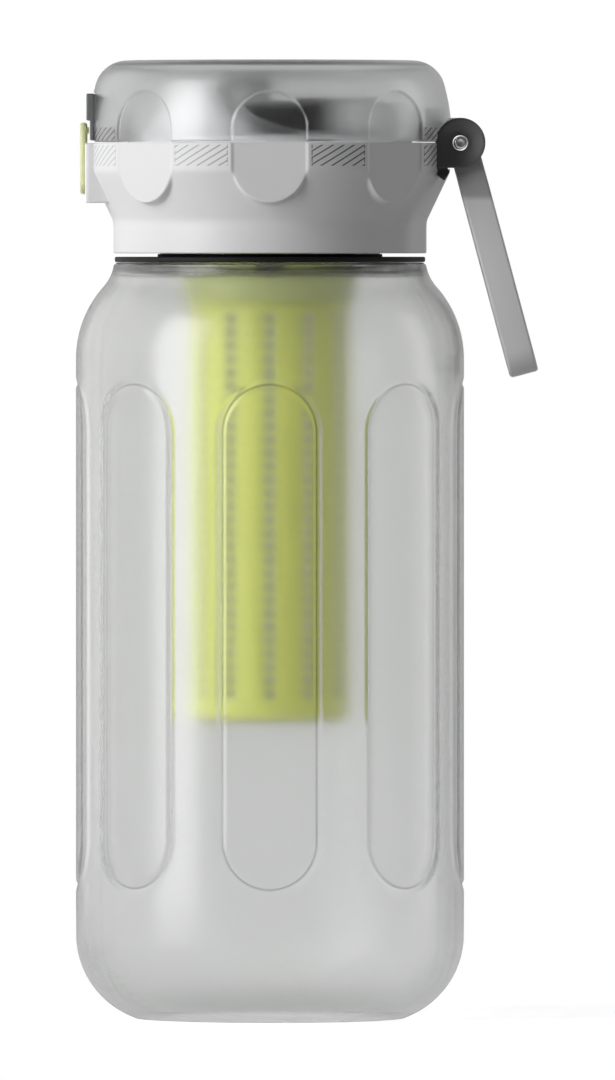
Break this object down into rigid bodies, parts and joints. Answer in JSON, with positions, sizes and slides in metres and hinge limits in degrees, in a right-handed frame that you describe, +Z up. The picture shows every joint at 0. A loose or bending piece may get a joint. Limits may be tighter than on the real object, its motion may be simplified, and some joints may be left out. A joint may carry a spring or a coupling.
{
  "type": "filter water bottle",
  "caption": "Frosted drinking bottle with a screw cap, flip lid over a spout, rocker release button, swinging carry loop and a removable perforated filter.",
  "frame": {"origin": "centre of the flat base, on the bottle's axis", "axes": "+Z up along the bottle's axis, +X towards the lid's hinge, -X towards the button, -Y towards the viewer"},
  "size_m": [0.1071, 0.09, 0.2221],
  "materials": {
    "frosted_clear": "frosted clear plastic",
    "black_silicone": "matte silicone",
    "light_grey": "fine satin",
    "pale_grey": "satin",
    "clear_silicone": "satin silicone",
    "dark_grey": "satin",
    "steel": "turned, bevelled end",
    "spring_steel": "drawn wire",
    "smoke_clear": "smoke translucent, satin",
    "tab_grey": "satin",
    "lime": "lime translucent, satin",
    "lime_filter": "satin"
  },
  "bodies": {
    "bottle": {"bottle_body": "frosted_clear"},
    "ring": {"shoulder_ring": "black_silicone"},
    "cap": {"cap_shell": "light_grey", "cap_liner": "pale_grey", "neck_gasket": "clear_silicone", "spout": "light_grey", "spout_gasket": "clear_silicone", "filter_gasket": "clear_silicone", "hinge_bracket": "dark_grey", "hinge_pin": "steel", "lid_spring": "spring_steel", "button_pin": "steel", "button_spring": "spring_steel"},
    "lid": {"lid_shell": "smoke_clear", "lid_insert": "dark_grey", "seal_plug": "clear_silicone", "latch_tab": "tab_grey"},
    "handle": {"carry_handle": "light_grey"},
    "rocker": {"button": "lime"},
    "filter": {"filter_collar": "lime_filter"},
    "tube": {"filter_tube": "lime_filter"}
  },
  "joints": [
    {"name": "cap_turn", "type": "hinge", "parent": "bottle", "child": "ring", "pos_m": [0, 0, 0.176], "axis": [0, 0, 1], "range_deg": [0, 450]},
    {"name": "cap_lift", "type": "slide", "parent": "ring", "child": "cap", "axis": [0, 0, 1], "range_m": [0, 0.0063]},
    {"name": "lid_hinge", "type": "hinge", "parent": "cap", "child": "lid", "pos_m": [0.0441, 0, 0.203], "axis": [0, 1, 0], "range_deg": [0, 120], "deforming": ["lid_spring"]},
    {"name": "handle_swing", "type": "hinge", "parent": "cap", "child": "handle", "pos_m": [0.0441, 0, 0.203], "axis": [0, 1, 0], "range_deg": [-162, 10.2]},
    {"name": "button_press", "type": "hinge", "parent": "cap", "child": "rocker", "pos_m": [-0.041, 0, 0.1993], "axis": [0, -1, 0], "range_deg": [0, 7], "stiffness_Nm_per_rad": 0.2, "springref_deg": -2.86, "deforming": ["button_spring"]},
    {"name": "filter_twist", "type": "hinge", "parent": "cap", "child": "filter", "pos_m": [0, 0, 0.192], "axis": [0, 0, 1], "range_deg": [0, 60]},
    {"name": "tube_pull", "type": "slide", "parent": "filter", "child": "tube", "axis": [0, 0, -1], "range_m": [0, 0.03]}
  ],
  "couplings": [
    {"joint": "cap_lift", "follows": "cap_turn", "m_per_rad": 0.00079577}
  ]
}
